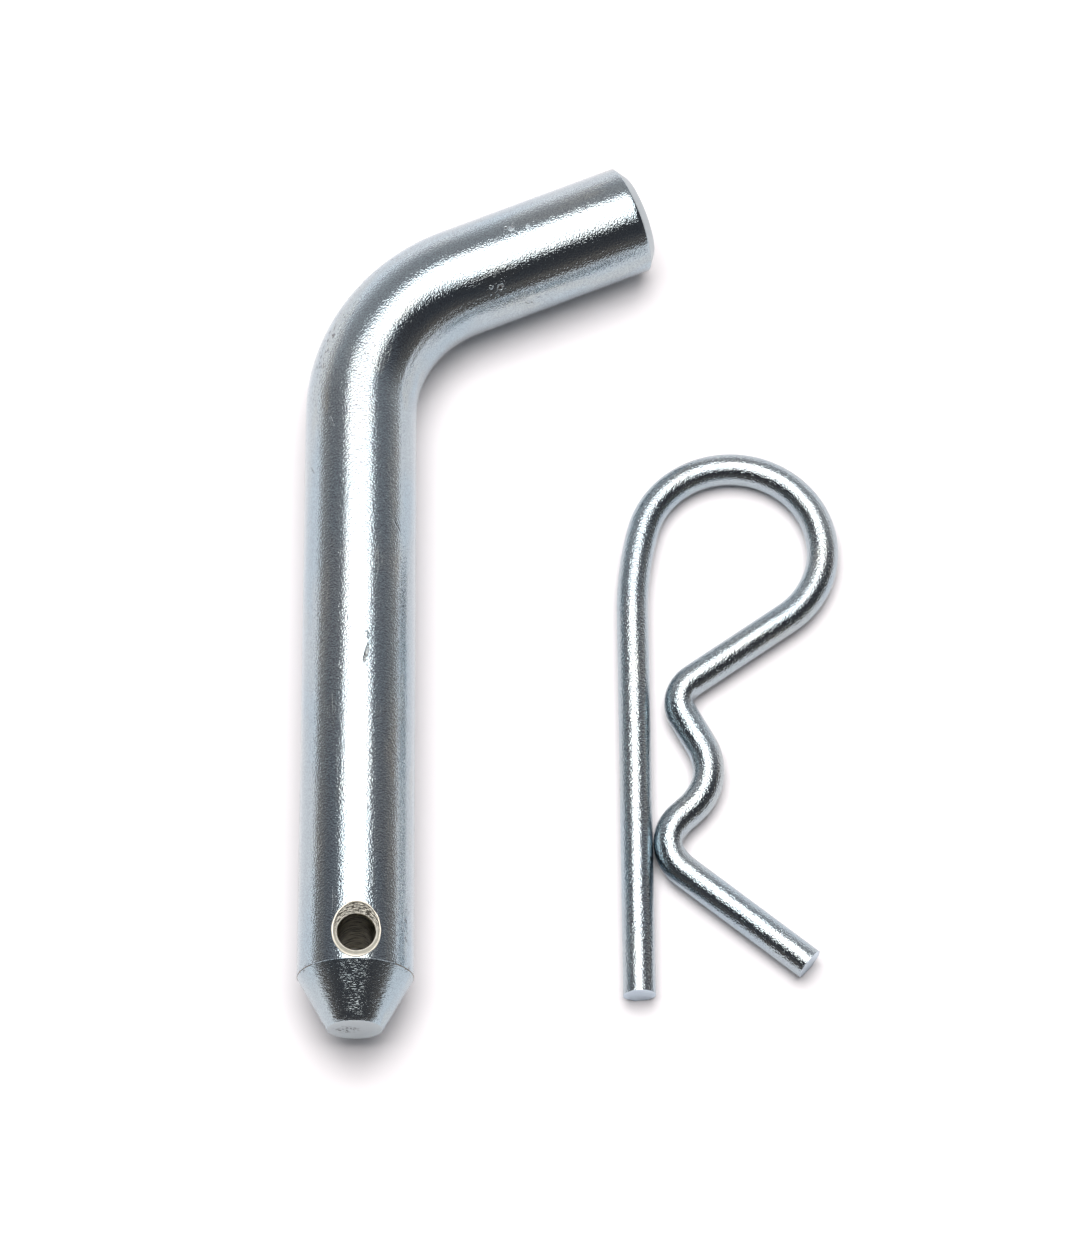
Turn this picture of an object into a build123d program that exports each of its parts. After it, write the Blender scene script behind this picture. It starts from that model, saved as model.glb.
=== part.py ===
from build123d import *
import math
import os

# Bent hitch pin with its R-clip, both lying flat on the ground plane. Millimetres, +Z up.
# The pin's shank runs along Y with its tip at -Y, and the clip lies beside it on the +X side.
# The origin ends up at the middle of the underside of both together.

# Pin: one round bar, bent once into a short grip
pin_diameter = 15.875
shank_length = 85.6
bend_radius = 23.2
bend_angle = 67.4
grip_length = 28.1
grip_edge_length = 1.4
grip_edge_depth = 1.85
tip_length = 7.4
tip_face_diameter = 7.5

# Cross hole for the clip, countersunk at both mouths
hole_from_tip = 11.55
hole_turn = 3.0
hole_clearance = 0.5
countersink_width = 1.4
countersink_angle = 90.0

# Clip: one round wire. Places along the straight leg are counted from the middle of the loop
wire_diameter = 4.5
leg_below_loop = 67.0
loop_radius = 13.0
loop_set_over = 1.3
shoulder_radius = 49.0
valley_below_loop = 33.7
valley_radius = 8.0
upper_flank_angle = 28.5
lower_flank_angle = 47.0
upper_crest_radius = 4.4
lower_crest_radius = 5.3
mouth_gap = 1.95
contact_gap = 0.05
tail_length = 21.8
tail_angle = 50.7

# How the clip lies beside the pin
clip_spacing = 38.55
clip_set_back = 6.55

# Fits and places that follow from the sizes above
pin_radius = pin_diameter / 2
wire_radius = wire_diameter / 2
hole_radius = (wire_diameter + hole_clearance) / 2
countersink_radius = hole_radius + countersink_width
valley_reach = pin_radius + wire_radius


def tangent_heading(centre_a, turn_a, centre_b, turn_b):
    """Heading in degrees of the line that leaves one round bend and enters the next.

    A turn is the bend's radius, positive where the wire turns left and negative where it turns right.
    """
    across = centre_b - centre_a
    lean = math.asin((turn_b - turn_a) / across.length)
    return math.degrees(math.atan2(across.Y, across.X) - lean)


def on_bend(centre, turn, heading):
    """Point of a round bend where the wire has the given heading."""
    angle = math.radians(heading)
    return centre + Vector(math.sin(angle), -math.cos(angle)) * turn


def bend_arc(centre, turn, heading_in, heading_out):
    """Arc of a round bend between two headings."""
    middle = (heading_in + heading_out) / 2
    points = [on_bend(centre, turn, heading) for heading in (heading_in, middle, heading_out)]
    return ThreePointArc(*points)


def run_bar(edges, radius, start, heading):
    """Round bar along joined lines and arcs in the XY plane, lying on the ground."""
    direction = Vector(math.cos(math.radians(heading)), math.sin(math.radians(heading)))
    lift = Vector(0, 0, radius)
    section = Plane(origin=start, z_dir=direction) * Circle(radius)
    bar = sweep(section, path=Wire(edges))
    return bar.moved(Location(lift))


def pin_bar():
    """Straight shank, bend and grip, without the tip."""
    shank_start = Vector(0, tip_length)
    shank_end = shank_start + Vector(0, shank_length)
    bend_centre = shank_end + Vector(bend_radius, 0)
    grip_heading = 90 - bend_angle
    shank = Line(shank_start, shank_end)
    bend = bend_arc(bend_centre, -bend_radius, 90, grip_heading)
    grip = PolarLine(bend @ 1, grip_length, grip_heading)
    bar = run_bar([shank, bend, grip], pin_radius, shank_start, 90)
    grip_axis = Vector(math.cos(math.radians(grip_heading)), math.sin(math.radians(grip_heading)), 0)
    end_face = bar.faces().sort_by(Axis((0, 0, 0), grip_axis))[-1]
    return chamfer(end_face.edges(), grip_edge_depth, grip_edge_length, reference=end_face)


def pin_tip():
    """Blunt cone that leads the pin into its hole."""
    place = Plane(origin=(0, 0, pin_radius), z_dir=(0, 1, 0))
    cone = Cone(tip_face_diameter / 2, pin_radius, tip_length, align=(Align.CENTER, Align.CENTER, Align.MIN))
    return place * cone


def clip_hole():
    """Cross hole and its two countersinks, as the shape to cut away."""
    flare = countersink_radius / math.tan(math.radians(countersink_angle / 2))
    cut = Cylinder(hole_radius, 2 * pin_diameter)
    for side in (1, -1):
        sink = Cone(0, 2 * countersink_radius, 2 * flare, align=(Align.CENTER, Align.CENTER, Align.MIN))
        turned = sink if side == 1 else sink.rotate(Axis.X, 180)
        cut += turned.moved(Location((0, 0, side * (pin_radius - flare))))
    return Location((0, hole_from_tip, pin_radius)) * cut.rotate(Axis.Y, hole_turn)


def hitch_pin():
    """Whole pin, with its tip's face at the start of the frame."""
    return (pin_bar() + pin_tip()) - clip_hole()


def clip_bends():
    """Middles and turns of the clip's round bends, with the straight leg's end at its start."""
    loop = Vector(loop_set_over + loop_radius, leg_below_loop)
    valley = Vector(valley_reach - valley_radius, leg_below_loop - valley_below_loop)
    upper_x = wire_diameter + mouth_gap + upper_crest_radius
    lower_x = wire_diameter + contact_gap + lower_crest_radius
    upper = crest_beside(valley, upper_x, upper_crest_radius, upper_flank_angle, 1)
    lower = crest_beside(valley, lower_x, lower_crest_radius, lower_flank_angle, -1)
    return loop, upper, valley, lower


def crest_beside(valley, crest_x, crest_radius, flank_angle, side):
    """Middle of the crest above (side 1) or below (side -1) the valley, for a flank that leans so far."""
    lean = math.radians(flank_angle)
    reach = valley_radius + crest_radius
    rise = (reach - (crest_x - valley.X) * math.cos(lean)) / math.sin(lean)
    return valley + Vector(crest_x - valley.X, side * rise)


def straight_leg():
    """Straight leg, its shoulder and the loop as far as the loop's top."""
    loop = clip_bends()[0]
    shoulder_drop = math.sqrt((shoulder_radius - loop_radius) ** 2 - (shoulder_radius - loop.X) ** 2)
    shoulder = Vector(shoulder_radius, loop.Y - shoulder_drop)
    shoulder_heading = 90 - math.degrees(math.atan2(shoulder_drop, shoulder_radius - loop.X))
    start = Vector(0, 0)
    edges = [
        Line(start, on_bend(shoulder, -shoulder_radius, 90)),
        bend_arc(shoulder, -shoulder_radius, 90, shoulder_heading),
        bend_arc(loop, -loop_radius, shoulder_heading, 0),
    ]
    return run_bar(edges, wire_radius, start, 90)


def spring_leg():
    """Other half of the loop, the crest, valley and crest that grip the pin, and the flared tail."""
    loop, upper, valley, lower = clip_bends()
    turns = [(loop, -loop_radius), (upper, upper_crest_radius)]
    turns += [(valley, -valley_radius), (lower, lower_crest_radius)]
    headings = [0]
    for (centre_a, turn_a), (centre_b, turn_b) in zip(turns, turns[1:]):
        headings.append(tangent_heading(centre_a, turn_a, centre_b, turn_b))
    headings.append(tail_angle - 90)
    edges = []
    for (centre, turn), heading_in, heading_out in zip(turns, headings, headings[1:]):
        if edges:
            edges.append(Line(edges[-1] @ 1, on_bend(centre, turn, heading_in)))
        edges.append(bend_arc(centre, turn, heading_in, heading_out))
    edges.append(PolarLine(edges[-1] @ 1, tail_length, headings[-1]))
    return run_bar(edges, wire_radius, on_bend(loop, -loop_radius, 0), 0)


beside = Location((clip_spacing, clip_set_back, 0))
parts = {
    "hitch_pin": hitch_pin(),
    "clip_straight_leg": straight_leg().moved(beside),
    "clip_spring_leg": spring_leg().moved(beside),
}
box = Compound(children=[Compound(part.wrapped) for part in parts.values()]).bounding_box()
to_origin = Location((-box.center().X, -box.center().Y, -box.min.Z))

os.makedirs("parts", exist_ok=True)
for name, shape in parts.items():
    export_step(shape.moved(to_origin), f"parts/{name}.step")
    print(name, round(shape.volume, 1), "mm3")

loop_centre = clip_bends()[0]
marks = {
    "shank bend end": Vector(0, tip_length + shank_length, pin_radius),
    "shank tip end": Vector(0, tip_length, pin_radius),
    "hole, on the pin's axis": Vector(0, hole_from_tip, pin_radius),
    "straight leg end": Vector(clip_spacing, clip_set_back, wire_radius),
    "loop centre": Vector(clip_spacing, clip_set_back, wire_radius) + loop_centre,
    "valley, on the leg's axis": Vector(
        clip_spacing, clip_set_back + leg_below_loop - valley_below_loop, wire_radius
    ),
}
for name, point in marks.items():
    print(name, [round(value, 3) for value in point + to_origin.position])
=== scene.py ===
import logging
import math
from dataclasses import dataclass, field
from enum import Enum
from typing import Iterable, Optional, Sequence, Union

import bmesh
import bpy
import numpy as np
from mathutils import Matrix, Vector, noise


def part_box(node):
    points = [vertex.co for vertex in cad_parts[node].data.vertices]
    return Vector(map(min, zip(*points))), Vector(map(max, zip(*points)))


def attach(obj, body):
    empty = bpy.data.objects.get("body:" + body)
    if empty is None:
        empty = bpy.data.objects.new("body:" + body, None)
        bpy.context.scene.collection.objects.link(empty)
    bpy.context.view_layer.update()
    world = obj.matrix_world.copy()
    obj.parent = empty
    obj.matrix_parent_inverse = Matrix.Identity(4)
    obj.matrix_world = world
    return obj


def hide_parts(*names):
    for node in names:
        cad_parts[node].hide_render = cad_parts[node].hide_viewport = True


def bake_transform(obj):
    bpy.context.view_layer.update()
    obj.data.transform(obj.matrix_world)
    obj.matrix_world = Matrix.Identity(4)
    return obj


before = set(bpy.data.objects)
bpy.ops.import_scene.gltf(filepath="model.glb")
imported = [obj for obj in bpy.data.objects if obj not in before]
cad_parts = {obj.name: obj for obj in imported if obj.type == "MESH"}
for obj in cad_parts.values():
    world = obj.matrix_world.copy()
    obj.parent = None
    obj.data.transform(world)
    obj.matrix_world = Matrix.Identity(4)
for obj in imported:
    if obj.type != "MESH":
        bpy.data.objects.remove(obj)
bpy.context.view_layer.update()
LOG = logging.getLogger("hitch_pin")
MM = 0.001
UP = Vector((0.0, 0.0, 1.0))
UNBENT = "unbent"
WORN = "worn"
Rgba = tuple[float, float, float, float]


class Body(Enum):
    """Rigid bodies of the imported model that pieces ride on."""

    PIN = "pin"
    CLIP = "clip"
    SPRING_LEG = "spring_leg"


class Slot(Enum):
    """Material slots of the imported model."""

    BAR = "zinc_plated_bar"
    WIRE = "zinc_plated_wire"


# ---------------------------------------------------------------- shader sheets


class Value:
    """A number in a shader: an expression on values adds its Math nodes."""

    def __init__(self, sheet: "Sheet", socket: bpy.types.NodeSocket) -> None:
        """Wraps an output socket of the sheet."""
        self.sheet = sheet
        self.socket = socket

    def _joined(self, operation: str, first: "Number", second: "Number" = 0.0) -> "Value":
        """Adds one Math node.

        Args:
            operation: The Math node's operation.
            first: Its first input.
            second: Its second input.

        Returns:
            The node's result.
        """
        node = self.sheet.node("ShaderNodeMath", {"operation": operation}, {0: first, 1: second})
        return Value(self.sheet, node.outputs[0])

    def __add__(self, other: "Number") -> "Value":
        """Sum."""
        return self._joined("ADD", self, other)

    def __radd__(self, other: "Number") -> "Value":
        """Sum with the value second."""
        return self._joined("ADD", other, self)

    def __sub__(self, other: "Number") -> "Value":
        """Difference."""
        return self._joined("SUBTRACT", self, other)

    def __rsub__(self, other: "Number") -> "Value":
        """Difference with the value second."""
        return self._joined("SUBTRACT", other, self)

    def __mul__(self, other: "Number") -> "Value":
        """Product."""
        return self._joined("MULTIPLY", self, other)

    def __rmul__(self, other: "Number") -> "Value":
        """Product with the value second."""
        return self._joined("MULTIPLY", other, self)

    def __truediv__(self, other: "Number") -> "Value":
        """Quotient."""
        return self._joined("DIVIDE", self, other)

    def __rtruediv__(self, other: "Number") -> "Value":
        """Quotient with the value second."""
        return self._joined("DIVIDE", other, self)

    def root(self) -> "Value":
        """Square root."""
        return self._joined("SQRT", self)

    def size(self) -> "Value":
        """Absolute value."""
        return self._joined("ABSOLUTE", self)

    def angle_to(self, other: "Value") -> "Value":
        """Angle of the point (other, self), in radians."""
        return self._joined("ARCTAN2", self, other)

    def between(self, low: float, high: float) -> "Value":
        """Smooth step.

        Args:
            low: Where the result is 0.
            high: Where the result is 1.

        Returns:
            A value that goes smoothly from 0 to 1.
        """
        settings = {"interpolation_type": "SMOOTHSTEP"}
        inputs = {"Value": self, "From Min": low, "From Max": high}
        node = self.sheet.node("ShaderNodeMapRange", settings, inputs)
        return Value(self.sheet, node.outputs["Result"])


Number = Union[Value, float]
Colour = Union[bpy.types.NodeSocket, Rgba]


class Sheet:
    """One shader node tree, filled by plain calls."""

    def __init__(self, tree: bpy.types.NodeTree) -> None:
        """Takes an empty node tree."""
        self.tree = tree
        tree.nodes.clear()

    def node(self, kind: str, settings: Optional[dict] = None,
             inputs: Optional[dict] = None) -> bpy.types.Node:
        """Adds a node.

        Args:
            kind: The node's type.
            settings: Its properties, set first.
            inputs: Its sockets by name or number, each with a value or something to link.

        Returns:
            The node.
        """
        node = self.tree.nodes.new(kind)
        for name, value in (settings or {}).items():
            setattr(node, name, value)
        for key, value in (inputs or {}).items():
            socket = node.inputs[key]
            if isinstance(value, Value):
                self.tree.links.new(value.socket, socket)
            elif isinstance(value, bpy.types.NodeSocket):
                self.tree.links.new(value, socket)
            else:
                socket.default_value = value
        return node

    def unbent(self) -> bpy.types.NodeSocket:
        """Place on the straight bar: left of its line, above it and along it."""
        return self.node("ShaderNodeAttribute", {"attribute_name": UNBENT}).outputs["Vector"]

    def worn(self) -> Value:
        """How worn the skin is, from 0 to 1."""
        return Value(self, self.node("ShaderNodeAttribute", {"attribute_name": WORN}).outputs["Fac"])

    def parts(self, place: bpy.types.NodeSocket) -> tuple[Value, Value, Value]:
        """The three numbers of a vector."""
        node = self.node("ShaderNodeSeparateXYZ", {}, {0: place})
        return Value(self, node.outputs[0]), Value(self, node.outputs[1]), Value(self, node.outputs[2])

    def place(self, first: Number, second: Number, third: Number) -> bpy.types.NodeSocket:
        """A vector of three numbers."""
        return self.node("ShaderNodeCombineXYZ", {}, {0: first, 1: second, 2: third}).outputs[0]

    def noise(self, place: bpy.types.NodeSocket, size: float,
              detail: float = 2.0, stretch: float = 1.0) -> Value:
        """Cloudy noise on a place.

        Args:
            place: The coordinates, in metres.
            size: The width of one lump, in metres.
            detail: Octaves of finer noise.
            stretch: How much longer a lump is along the bar (third axis) than across it.

        Returns:
            The noise, from 0 to 1 and mostly near 0.5.
        """
        scale = self.node("ShaderNodeVectorMath", {"operation": "MULTIPLY"},
                          {0: place, 1: (1 / size, 1 / size, 1 / (size * stretch))})
        inputs = {"Vector": scale.outputs[0], "Scale": 1.0, "Detail": detail, "Roughness": 0.55}
        lumps = self.node("ShaderNodeTexNoise", {"noise_dimensions": "3D"}, inputs)
        return Value(self, lumps.outputs["Fac"])

    def mixed(self, factor: Number, first: Colour, second: Colour) -> bpy.types.NodeSocket:
        """Colour between two colours.

        Args:
            factor: 0 for the first colour and 1 for the second.
            first: The first colour, or a colour socket.
            second: The second colour, or a colour socket.

        Returns:
            The colour socket.
        """
        node = self.node("ShaderNodeMix", {"data_type": "RGBA"}, {"Factor": factor, 6: first, 7: second})
        return node.outputs[2]


def rgb(red: float, green: float, blue: float) -> Rgba:
    """Opaque colour in linear light."""
    return red, green, blue, 1.0


@dataclass(frozen=True)
class Nick:
    """A dent or scuff in a bar's skin.

    Attributes:
        along: Its place along the bar.
        angle: Its place around the bar, in degrees from the top towards the right.
        length: Its length along the bar.
        width: Its width around the bar.
        depth: How deep it is, negative for a raised lip.
        slant: How far it is turned from the bar's direction, in degrees.
        out: How far it is from the bar's line, or None for all the way out.
    """

    along: float
    angle: float
    length: float
    width: float
    depth: float
    slant: float = 0.0
    out: Optional[float] = None


@dataclass(frozen=True, kw_only=True)
class Finish:
    """A material worked out from the place on the straight bar."""

    name: str
    metallic: float = 1.0

    def colour_and_height(self, sheet: Sheet) -> tuple[bpy.types.NodeSocket, Value, Value]:
        """The finish's colour, roughness and height above the smooth skin, in metres."""
        raise NotImplementedError

    def material(self) -> bpy.types.Material:
        """Builds the material.

        Returns:
            The finished material.
        """
        material = bpy.data.materials.new(self.name)
        material.use_nodes = True
        sheet = Sheet(material.node_tree)
        colour, roughness, height = self.colour_and_height(sheet)
        bump = sheet.node("ShaderNodeBump", {}, {"Strength": 1.0, "Distance": 1.0, "Height": height})
        shader = sheet.node("ShaderNodeBsdfPrincipled", {}, {
            "Base Color": colour, "Metallic": self.metallic, "Roughness": roughness,
            "Normal": bump.outputs[0]})
        sheet.node("ShaderNodeOutputMaterial", {}, {"Surface": shader.outputs[0]})
        return material


@dataclass(frozen=True, kw_only=True)
class ZincPlate(Finish):
    """Bright blue-white zinc plate on steel.

    Sizes are in metres.

    Attributes:
        tint: The plate's usual colour.
        cool: Its bluer film.
        warm: Its yellower film.
        stain: What has gathered in pits and scratches.
        shade: The darker colour of its fine specks, which are painted shade of the grain.
        warmth: How strong the yellower film is.
        painted_grain_shade: How strong the fine dark specks are; they are painted shade of the grain.
        grain: Size of the dimples that the plate has all over.
        grain_height: How high they are.
        grain_stretch: How much longer they are along the bar than across it.
        marks: Single small marks.
    """

    tint: Rgba = rgb(0.44, 0.51, 0.535)
    cool: Rgba = rgb(0.395, 0.49, 0.54)
    warm: Rgba = rgb(0.50, 0.50, 0.43)
    stain: Rgba = rgb(0.10, 0.085, 0.07)
    shade: Rgba = rgb(0.27, 0.30, 0.35)
    warmth: float = 0.3
    painted_grain_shade: float = 0.6
    roughness: float = 0.10
    grain: float = 0.25 * MM
    grain_height: float = 0.041 * MM
    grain_stretch: float = 1.0
    marks: tuple[Nick, ...] = ()

    def scored(self, sheet: Sheet) -> Value:
        """Depth of the single small marks, in metres."""
        left, above, along = sheet.parts(sheet.unbent())
        ragged = (sheet.noise(sheet.unbent(), 0.3 * MM, 2.0) - 0.5) * 1.6
        depths = []
        for mark in self.marks:
            angle, slant = math.radians(mark.angle), math.radians(mark.slant)
            ahead = along - mark.along
            beside = left * -math.cos(angle) - above * math.sin(angle)
            main = (ahead * math.cos(slant) + beside * math.sin(slant)) * (2 / mark.length)
            cross = (beside * math.cos(slant) - ahead * math.sin(slant)) * (2 / mark.width)
            near = 1 - (main * main + cross * cross + ragged).between(0.0, 1.0)
            facing = (above * math.cos(angle) - left * math.sin(angle)).between(0.0, 1 * MM)
            depths.append(near * facing * mark.depth)
        return sum(depths[1:], depths[0])

    def colour_and_height(self, sheet: Sheet) -> tuple[bpy.types.NodeSocket, Value, Value]:
        """Cloudy blue and yellow films over fine grain, with fine dark specks of painted grain shade, and
        pits and scratches where it is worn.
        """
        place = sheet.unbent()
        worn = sheet.worn()
        cloud = sheet.noise(place, 7 * MM, 3.0, 3.0)
        film = sheet.noise(place, 3.5 * MM, 2.0, 4.0)
        colour = sheet.mixed(cloud.between(0.40, 0.60), self.tint, self.cool)
        colour = sheet.mixed(film.between(0.54, 0.70) * self.warmth, colour, self.warm)
        pit = sheet.noise(place, 0.42 * MM, 1.0, 1.3).between(0.60, 0.68)
        pit = pit * (worn + 0.03)
        colour = sheet.mixed(pit * 0.85, colour, self.stain)
        grain = sheet.noise(place, self.grain, 1.0, self.grain_stretch)
        # Fine dark specks in the colour: painted shade of the grain's dimples.
        painted_grain_shade = sheet.noise(place, 0.20 * MM, 1.0)
        colour = sheet.mixed(painted_grain_shade.between(0.45, 0.57) * self.painted_grain_shade, colour, self.shade)
        streak = sheet.noise(place, 0.35 * MM, 1.0, 40.0)
        thread = (sheet.noise(place, 0.5 * MM, 0.0, 12.0) - 0.5).size()
        scratch = (1 - thread.between(0.0, 0.02)) * film.between(0.52, 0.64)
        height = grain * self.grain_height + streak * (0.004 * MM) - pit * (0.06 * MM)
        height = height - scratch * (0.004 * MM)
        if self.marks:
            scored = self.scored(sheet)
            colour = sheet.mixed((scored / (0.08 * MM)).between(0.0, 1.0) * 0.6, colour, self.stain)
            height = height - scored
        rough = cloud * 0.04 + pit * 0.2 + (self.roughness - 0.02)
        return colour, rough, height


@dataclass(frozen=True, kw_only=True)
class CutSteel(Finish):
    """Zinc over a cut or sheared face: duller, with the tool's marks."""

    tint: Rgba = rgb(0.44, 0.49, 0.51)
    stain: Rgba = rgb(0.07, 0.07, 0.08)
    roughness: float = 0.42
    mark: float = 0.3 * MM
    mark_height: float = 0.03 * MM

    def colour_and_height(self, sheet: Sheet) -> tuple[bpy.types.NodeSocket, Value, Value]:
        """Fine unevenness with dark pits where it is worn."""
        place = sheet.unbent()
        mark = sheet.noise(place, self.mark, 3.0, 1.0)
        speck = sheet.noise(place, 0.40 * MM, 2.0, 1.0).between(0.52, 0.57)
        dark = speck * (sheet.worn() * 1.5 + 0.09).between(0.0, 1.0)
        colour = sheet.mixed(dark * 0.9, self.tint, self.stain)
        return colour, mark * 0.1 + (self.roughness - 0.05), mark * self.mark_height - dark * (0.05 * MM)


@dataclass(frozen=True, kw_only=True)
class Countersink(Finish):
    """Yellowish zinc over the rough chatter of a countersinking tool.

    Attributes:
        along: Place of the hole's middle along the bar.
        lean: Slope of the hole's axis.
        mouth: Radius of the hole where the countersink meets it.
        spread: Usual distance from the hole's middle.
    """

    along: float
    lean: float
    mouth: float
    spread: float
    metallic: float = 0.3
    tint: Rgba = rgb(0.97, 0.96, 0.85)
    near_side_painted_shade: Rgba = rgb(0.50, 0.50, 0.42)
    stain: Rgba = rgb(0.07, 0.065, 0.05)

    def colour_and_height(self, sheet: Sheet) -> tuple[bpy.types.NodeSocket, Value, Value]:
        """Rings of short dark dashes on the far side, plainer on the near side, where a middle band is
        darkened as painted shade.
        """
        across, above, along = sheet.parts(sheet.unbent())
        across = across + above.size() * self.lean
        along = along - self.along
        radius = (across * across + along * along).root()
        turned = across.angle_to(along)
        rings = sheet.place(turned * self.spread, 0.0, radius)
        dash = sheet.noise(rings, 0.7 * MM, 2.0, 0.16)
        depth = radius - self.mouth
        middle = depth.between(0.25 * MM, 0.45 * MM) * (1 - depth.between(0.85 * MM, 1.15 * MM))
        far = (along / radius).between(-0.2, 0.7)
        dark = dash.between(0.47, 0.52) * (far * 0.75 + 0.2) * depth.between(0.1 * MM, 0.35 * MM)
        # A middle band on the near side is darkened: painted shade, which leaves the mouth and the outer
        # edge brighter.
        colour = sheet.mixed(middle * (1 - far) * 0.8, self.tint, self.near_side_painted_shade)
        colour = sheet.mixed(dark, colour, self.stain)
        return colour, dark * 0.2 + 0.28, dash * (far * (0.16 * MM) + 0.05 * MM)


@dataclass(frozen=True, kw_only=True)
class ShadedHoleWall(Finish):
    """Thin dull plate deep inside a drilled hole, with the drill's rings; its dark tint is also painted
    shade of the narrow bore.
    """

    # This dark tint is painted shade of the deep, narrow hole.
    tint: Rgba = rgb(0.30, 0.28, 0.21)
    stain: Rgba = rgb(0.06, 0.055, 0.04)

    def colour_and_height(self, sheet: Sheet) -> tuple[bpy.types.NodeSocket, Value, Value]:
        """Fine rings one above the other."""
        across, above, along = sheet.parts(sheet.unbent())
        ring = sheet.noise(sheet.place(across, along, above), 1.4 * MM, 3.0, 0.16)
        colour = sheet.mixed(ring.between(0.42, 0.62), self.tint, self.stain)
        return colour, ring * 0.2 + 0.3, ring * (0.05 * MM)


# ---------------------------------------------------------------- centre lines


@dataclass
class Run:
    """One straight or round stretch of a bar's centre line.

    Attributes:
        start: Where it begins, in metres.
        heading: Its first direction, in radians from +X.
        length: Its length along the bar.
        turn: The bend's radius, positive to the left, negative to the right, 0 for straight.
    """

    start: Vector
    heading: float
    length: float
    turn: float = 0.0

    @property
    def middle(self) -> Vector:
        """Middle of the bend."""
        return self.start + self.turn * left_of(self.heading)

    @property
    def angle(self) -> float:
        """How far the bend turns, in radians, positive to the left."""
        return self.length / self.turn if self.turn else 0.0

    @property
    def end_heading(self) -> float:
        """Direction where the run ends."""
        return self.heading + self.angle

    @property
    def end(self) -> Vector:
        """Where the run ends."""
        if not self.turn:
            return self.start + self.length * ahead_of(self.heading)
        return self.middle - self.turn * left_of(self.end_heading)


def ahead_of(heading: float) -> Vector:
    """Unit vector along a heading."""
    return Vector((math.cos(heading), math.sin(heading), 0.0))


def left_of(heading: float) -> Vector:
    """Unit vector to the left of a heading."""
    return Vector((-math.sin(heading), math.cos(heading), 0.0))


@dataclass
class CentreLine:
    """Joined runs of a bar, lying in a level plane."""

    start: Vector
    heading: float
    runs: list[Run] = field(default_factory=list)

    @property
    def end(self) -> Vector:
        """Where the line ends so far."""
        return self.runs[-1].end if self.runs else self.start

    @property
    def end_heading(self) -> float:
        """Direction where the line ends so far."""
        return self.runs[-1].end_heading if self.runs else self.heading

    @property
    def length(self) -> float:
        """Length of all runs."""
        return sum(run.length for run in self.runs)

    def straight(self, length: float) -> "CentreLine":
        """Adds a straight run."""
        self.runs.append(Run(self.end, self.end_heading, length))
        return self

    def bend(self, turn: float, heading: float) -> "CentreLine":
        """Adds a round run that ends on a heading.

        Args:
            turn: The bend's radius, positive to the left.
            heading: The heading at its end, in radians.

        Returns:
            The line itself.
        """
        self.runs.append(Run(self.end, self.end_heading, (heading - self.end_heading) * turn, turn))
        return self

    def unbend(self, points: np.ndarray) -> np.ndarray:
        """Places of points if the bar were straight.

        Args:
            points: Places on or in the bar, one row each.

        Returns:
            For each point, how far left of the line, how far above it, and how far along it.
        """
        best = np.full(len(points), np.inf)
        found = np.zeros_like(points)
        gone = 0.0
        for number, run in enumerate(self.runs):
            if run.turn:
                away = points - np.array(run.middle)
                side = math.copysign(1.0, run.turn)
                first = -side * left_of(run.heading)
                spread = np.hypot(away[:, 0], away[:, 1])
                turned = side * np.arctan2(first.x * away[:, 1] - first.y * away[:, 0],
                                           first.x * away[:, 0] + first.y * away[:, 1])
                half = abs(run.angle) / 2
                turned = (turned - half + math.pi) % (2 * math.pi) - math.pi + half
                along = turned * abs(run.turn)
                across = side * (abs(run.turn) - spread)
            else:
                away = points - np.array(run.start)
                along = away @ np.array(ahead_of(run.heading))
                across = away @ np.array(left_of(run.heading))
            low = -np.inf if number == 0 else 0.0
            high = np.inf if number == len(self.runs) - 1 else run.length
            outside = np.maximum(np.maximum(low - along, along - high), 0.0)
            error = np.abs(across) + 10 * outside
            nearer = error < best
            best[nearer] = error[nearer]
            height = points[:, 2] - self.start.z
            found[nearer] = np.column_stack([across, height, along + gone])[nearer]
            gone += run.length
        return found

    def outward(self, points: np.ndarray, unbent: np.ndarray) -> np.ndarray:
        """Unit vectors from the centre line to points.

        Args:
            points: Places on the bar, one row each.
            unbent: The same places on the straight bar.

        Returns:
            One unit vector for each point.
        """
        gone = 0.0
        heading = np.full(len(points), self.heading)
        for run in self.runs:
            here = unbent[:, 2] >= gone
            share = np.clip(unbent[here, 2] - gone, 0.0, run.length)
            heading[here] = run.heading + (share / run.turn if run.turn else 0.0)
            gone += run.length
        side = unbent[:, 0]
        vectors = np.column_stack([-np.sin(heading) * side, np.cos(heading) * side, unbent[:, 1]])
        return vectors / np.maximum(np.linalg.norm(vectors, axis=1), 1e-9)[:, None]


# ---------------------------------------------------------------- modelling


def deselect_all() -> None:
    """Leaves edit mode and selects nothing."""
    if bpy.context.object and bpy.context.object.mode == "EDIT":
        bpy.ops.object.mode_set(mode="OBJECT")
    bpy.ops.object.select_all(action="DESELECT")


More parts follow.
